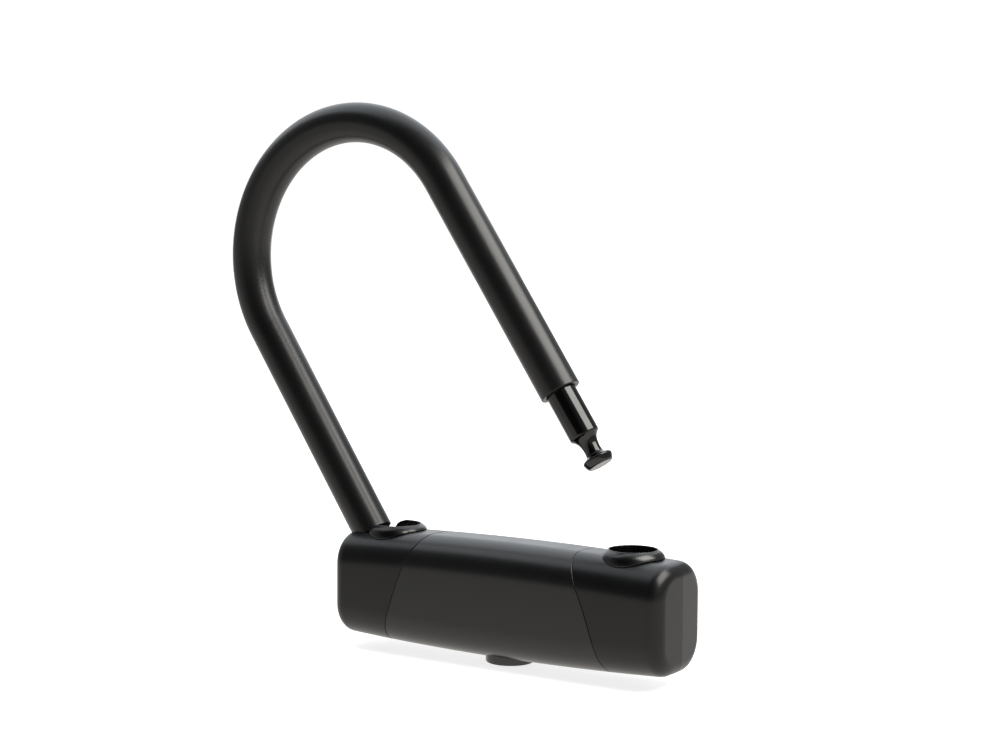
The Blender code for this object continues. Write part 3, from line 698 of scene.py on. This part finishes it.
def shackle_sleeve():
    """The vinyl sleeve, a tube with softly rounded lips."""
    low, high = LEFT_SLEEVE_END, PATH_LENGTH - RIGHT_SLEEVE_END
    lip_out, lip_in = 0.00035, 0.0002
    profile = []
    for angle in spaced(0, math.pi / 2, 6):
        profile.append((low + lip_out * (1 - math.sin(angle)), SLEEVE_RADIUS - lip_out * (1 - math.cos(angle))))
    profile.reverse()
    outer = [(station, SLEEVE_RADIUS) for station in shackle_stations(low + lip_out, high - lip_out)[1:-1]]
    inner_lip = [(low + lip_in * (1 - math.cos(angle)), SLEEVE_BORE + lip_in * (1 - math.sin(angle)))
                 for angle in spaced(0, math.pi / 2, 4)]
    start = list(reversed(inner_lip)) + profile
    end = [(low + high - station, radius) for station, radius in reversed(start)]
    inner = [(station, SLEEVE_BORE) for station in reversed(shackle_stations(low + lip_in, high - lip_in)[1:-1])]
    loops = [shackle_loop(station, radius, 64) for station, radius in start + outer + end + inner]
    sleeve = lofted("shackle_sleeve_vinyl", loops, cyclic=True)
    return dress(soften(sleeve), "shackle_vinyl", "shackle", "shackle_sleeve")


def smooth_profile(points, steps=5):
    """A smooth curve through (height, radius) points."""
    curve = []
    for index in range(len(points) - 1):
        p1, p2 = Vector(points[index]), Vector(points[index + 1])
        p0 = Vector(points[index - 1]) if index > 0 else p1
        p3 = Vector(points[index + 2]) if index + 2 < len(points) else p2
        for step in range(steps):
            t = step / steps
            a, b = 2 * p1, p2 - p0
            c, d = 2 * p0 - 5 * p1 + 4 * p2 - p3, 3 * p1 - p0 - 3 * p2 + p3
            curve.append(tuple((a + b * t + c * t * t + d * t * t * t) / 2))
    curve.append(tuple(points[-1]))
    return curve


def shackle_bar():
    """The steel bar: a ball end with an eye at the hinge, a necked and headed foot at the other end."""
    shoulder = 0.0050
    stations = []
    for angle in spaced(0.02, math.pi / 2, 12):
        stations.append((-BAR_RADIUS * math.cos(angle), max(BAR_RADIUS * math.sin(angle), 0.0001)))
    stations += [(station, BAR_RADIUS) for station in shackle_stations(0.002, PATH_LENGTH - shoulder - 0.0008)]
    neck = [(shoulder, 0.00630), (0.0046, 0.0058), (0.0038, 0.0050), (0.0026, 0.00425), (0.0010, 0.0038),
            (-0.0008, 0.0036), (-0.0022, 0.0036), (-0.0034, 0.0038), (-0.0042, 0.0043), (-0.0047, 0.0051)]
    head = [(-0.0050, 0.0058), (-0.0054, 0.0063), (-0.0059, BAR_RADIUS), (-0.0064, 0.0064), (-0.0073, 0.0061),
            (-0.0081, 0.00575), (-0.0085, 0.0055), (-0.0088, 0.0051), (-0.0089, 0.0046)]
    for height, radius in smooth_profile(neck) + smooth_profile(head, 3):
        stations.append((PATH_LENGTH - height, min(radius, BAR_RADIUS)))
    loops = [shackle_loop(station, radius, 64) for station, radius in stations]
    bar = lofted("shackle_bar_steel", loops)
    eye = rod_cutter((0, 0), EYE_RADIUS, -FAR, FAR, 48)
    eye.data.transform(Matrix.Translation(PIVOT) @ Matrix.Rotation(math.pi / 2, 4, "X"))
    cut(bar, eye)
    return dress(soften(bar, 50), "shackle_steel", "shackle", "shackle_bar")


# ---- Key end and screws ----
AXIS = 0.00001                # the radius that closes a turned outline at its axis
BEZEL_BORE = 0.0088
SHUTTER_RADIUS = 0.0079       # the part of the shutter that shows through the bezel


def bezel_ring():
    """The ring round the key end, with a lip that holds the shutter in."""
    pocket, opening = SHUTTER_RIM + GAP, SHUTTER_RADIUS + GAP
    top, lip, seat = bezel_box[1].z, BEZEL_FACE + 0.0006, -0.0260
    outline = filleted([
        (BEZEL_BORE, top, 0.0002), (BEZEL_RADIUS, top, 0.0002), (BEZEL_RADIUS, BEZEL_FACE, 0.0009),
        (opening, BEZEL_FACE, 0.0002), (opening, lip, 0.0), (pocket, lip, 0.0), (pocket, seat, 0.0),
        (BEZEL_BORE, seat, 0.0)])
    ring = turned("bezel_ring_turned", outline, (0, MID_Y), 128)
    return dress(soften(ring), "collar_steel", "crossbar", "bezel_ring")


def dust_shutter():
    """A domed disc with a slot for the key."""
    lip = BEZEL_FACE + 0.0009
    dome_radius, slot_top = 0.0045, -0.020
    outline = filleted([
        (AXIS, SHUTTER_BACK, 0.0), (SHUTTER_RIM, SHUTTER_BACK, 0.0001), (SHUTTER_RIM, lip, 0.0001),
        (SHUTTER_RADIUS, lip, 0.0), (SHUTTER_RADIUS, SHUTTER_FACE + 0.0003, 0.0004),
        (dome_radius, SHUTTER_FACE + 0.0001, 0.001), (AXIS, SHUTTER_FACE, 0.0)])
    disc = turned("dust_shutter_disc", outline, (0, MID_Y), 128)
    half_width, half_length, corner = 0.0013, 0.0037, 0.0005
    slot_outline = filleted([(-half_width, -half_length, corner), (half_width, -half_length, corner),
                             (half_width, half_length, corner), (-half_width, half_length, corner)])
    slot_loops = [[Vector((x, MID_Y + y, z)) for x, y in slot_outline] for z in (-FAR, slot_top)]
    cut(disc, lofted("slot_cutter", slot_loops))
    return dress(soften(disc, 30), "collar_steel", "shutter", "dust_shutter")


def cap_screw(name, x, node):
    """A small socket screw."""
    head_top, head_low, tip = -0.0216, -0.0229, -0.0130
    socket_radius, socket_depth = 0.0015, 0.0008
    outline = filleted([
        (AXIS, tip, 0.0), (SCREW_SHANK, tip, 0.0003), (SCREW_SHANK, head_top, 0.0), (SCREW_HEAD, head_top, 0.0002),
        (SCREW_HEAD, head_low, 0.0004), (AXIS, head_low, 0.0)])
    screw = turned(name, outline, (x, MID_Y), 64)
    cut(screw, rod_cutter((x, MID_Y), socket_radius, -FAR, head_low + socket_depth, 6))
    return dress(soften(screw, 30), "inner_steel", "crossbar", node)


# ---- Assembly ----
centre_cover()
CAP_LOOK = cover_plastic("end_cap_look", 1.42)      # the caps have the flatter sheen
CAPS = (("left_cap_shell", -1, "left_end_cap"), ("right_cap_shell", 1, "right_end_cap"))
for cap_name, cap_side, cap_node in CAPS:
    cap_piece = soften(end_cap(cap_name, cap_side))
    mark_ridge(cap_piece)
    dress(cap_piece, "cover_plastic", "crossbar", cap_node, look=CAP_LOOK)
right_collar()
left_collar()
shackle_sleeve()
shackle_bar()
bezel_ring()
dust_shutter()
cap_screw("left_screw", -SCREW_X, "left_cap_screw")
cap_screw("right_screw", SCREW_X, "right_cap_screw")

CARRIED_OVER = {
    "inner_steel": ["crossbar_tube", "hinge_pin", "left_block_pin", "right_block_pin", "cylinder_pin", "deadbolt",
                    "anti_drill_disc", "sidebar"] + [f"code_disc_{index}" for index in range(1, 7)],
    "zinc_casting": ["left_end_block", "right_end_block", "lock_chassis", "drive_cam"],
    "cylinder_brass": ["cylinder_body", "key_plug"],
}
for carried_slot, carried_nodes in CARRIED_OVER.items():
    for carried in carried_nodes:
        node_object = frame["nodes"][carried]
        node_object.data.materials.clear()
        node_object.data.materials.append(LOOKS[carried_slot])


# ---- Camera ----
CAMERA_AZIMUTH = math.radians(33.36)
CAMERA_ELEVATION = math.radians(4.24)
CAMERA_DISTANCE = 0.7978
CAMERA_ROLL = math.radians(0.386)
CAMERA_TARGET = Vector((-0.0061, MID_Y, 0.0943))
CAMERA_LENS = 68.0


def make_camera():
    back = Vector((math.sin(CAMERA_AZIMUTH) * math.cos(CAMERA_ELEVATION),
                   -math.cos(CAMERA_AZIMUTH) * math.cos(CAMERA_ELEVATION), math.sin(CAMERA_ELEVATION)))
    level = Vector((math.cos(CAMERA_AZIMUTH), math.sin(CAMERA_AZIMUTH), 0.0))
    upright = back.cross(level)
    right = level * math.cos(CAMERA_ROLL) + upright * math.sin(CAMERA_ROLL)
    up = upright * math.cos(CAMERA_ROLL) - level * math.sin(CAMERA_ROLL)
    data = bpy.data.cameras.new("camera")
    data.lens = CAMERA_LENS
    data.sensor_width = 36.0
    data.clip_start, data.clip_end = 0.01, 100.0
    camera = bpy.data.objects.new("camera", data)
    bpy.context.scene.collection.objects.link(camera)
    turn = Matrix((right, up, back)).transposed().to_4x4()
    camera.matrix_world = Matrix.Translation(CAMERA_TARGET + back * CAMERA_DISTANCE) @ turn
    bpy.context.scene.camera = camera


# ---- Studio ----
def softbox(name, direction, distance, width, height, radiance, colour):
    """A soft rectangular light that faces the object, level along its width."""
    data = bpy.data.lights.new(name, "AREA")
    data.shape = "RECTANGLE"
    data.size, data.size_y = width, height
    data.energy = radiance * math.pi * width * height
    data.color = colour
    light = bpy.data.objects.new(name, data)
    bpy.context.scene.collection.objects.link(light)
    towards = Vector(direction).normalized()
    light.location = CAMERA_TARGET + towards * distance
    light.rotation_mode = "QUATERNION"
    light.rotation_quaternion = towards.to_track_quat("Z", "Y")
    light.visible_camera = False
    return light


ROOM_BRIGHT, ROOM_DARK = 0.34, 0.035      # the walls, and the dark side that the camera looks from
FLOOR_FADE = Vector((-0.55, -0.835, 0.0))
DARK_SIDE = Vector((-0.10, -0.87, 0.48)).normalized()


def seen_by_camera(tree):
    return add(tree, "ShaderNodeLightPath").outputs["Is Camera Ray"]


def make_world():
    """A room for reflections, dark on one side; the camera sees it as plain white."""
    world = bpy.data.worlds.new("studio")
    bpy.context.scene.world = world
    world.use_nodes = True
    tree = world.node_tree
    tree.nodes.clear()
    towards = add(tree, "ShaderNodeVectorMath", operation="DOT_PRODUCT")
    towards.inputs[1].default_value = DARK_SIDE
    tree.links.new(add(tree, "ShaderNodeTexCoord").outputs["Generated"], towards.inputs[0])
    room = add(tree, "ShaderNodeBackground")
    room.inputs["Color"].default_value = (1.0, 1.0, 1.0, 1.0)
    brightness = remap(tree, towards.outputs["Value"], 0.55, 0.93, ROOM_BRIGHT, ROOM_DARK)
    tree.links.new(brightness, room.inputs["Strength"])
    white = add(tree, "ShaderNodeBackground")
    white.inputs["Color"].default_value = (1.0, 1.0, 1.0, 1.0)
    white.inputs["Strength"].default_value = 1.05
    switch = add(tree, "ShaderNodeMixShader")
    tree.links.new(seen_by_camera(tree), switch.inputs["Fac"])
    tree.links.new(room.outputs["Background"], switch.inputs[1])
    tree.links.new(white.outputs["Background"], switch.inputs[2])
    output = add(tree, "ShaderNodeOutputWorld")
    tree.links.new(switch.outputs["Shader"], output.inputs["Surface"])


def make_floor():
    """A white light table under the lock. What it gives back to the lock fades towards the front left."""
    made, tree, shader = node_material("floor_white")
    source = place(tree)
    tint = blend_colours(tree, noise(tree, source, 3.0, 2.0), (0.70, 0.70, 0.70), (0.73, 0.73, 0.73))
    tree.links.new(tint, shader.inputs["Base Color"])
    shader.inputs["Roughness"].default_value = 0.9
    shader.inputs["Specular IOR Level"].default_value = 0.0
    shader.inputs["Emission Color"].default_value = (1.0, 1.0, 1.0, 1.0)
    distance = add(tree, "ShaderNodeVectorMath", operation="LENGTH")
    tree.links.new(source, distance.inputs[0])
    glow = remap(tree, distance.outputs["Value"], 0.15, 0.80, 0.80, 1.05)
    tree.links.new(glow, shader.inputs["Emission Strength"])
    forwards = add(tree, "ShaderNodeVectorMath", operation="DOT_PRODUCT")
    forwards.inputs[1].default_value = FLOOR_FADE
    tree.links.new(source, forwards.inputs[0])
    given = add(tree, "ShaderNodeEmission")
    given.inputs["Color"].default_value = (1.0, 0.972, 0.925, 1.0)
    tree.links.new(remap(tree, forwards.outputs["Value"], 0.02, 0.42, 1.02, 0.58), given.inputs["Strength"])
    switch = add(tree, "ShaderNodeMixShader")
    tree.links.new(seen_by_camera(tree), switch.inputs["Fac"])
    tree.links.new(given.outputs["Emission"], switch.inputs[1])
    tree.links.new(shader.outputs["BSDF"], switch.inputs[2])
    tree.links.new(switch.outputs["Shader"], tree.nodes["Material Output"].inputs["Surface"])
    bm = bmesh.new()
    bmesh.ops.create_grid(bm, x_segments=8, y_segments=8, size=6.0)
    mesh = bpy.data.meshes.new("floor")
    bm.to_mesh(mesh)
    bm.free()
    floor = linked("floor", mesh)
    floor.location = (0, MID_Y, cad_box[0].z - 0.0002)
    mesh.materials.append(made)


make_camera()
make_world()
make_floor()
softbox("right_softbox", (0.67, 0.08, 0.735), 0.62, 0.54, 0.42, 7.0, (1.0, 0.98, 0.93))
softbox("left_softbox", (-0.38, 0.36, 0.85), 1.0, 1.9, 1.25, 1.35, (0.88, 0.94, 1.0))
softbox("back_softbox", (-0.60, 0.77, 0.20), 1.1, 1.2, 0.50, 1.1, (0.90, 0.95, 1.0))
bpy.context.scene.view_settings.view_transform = "Standard"
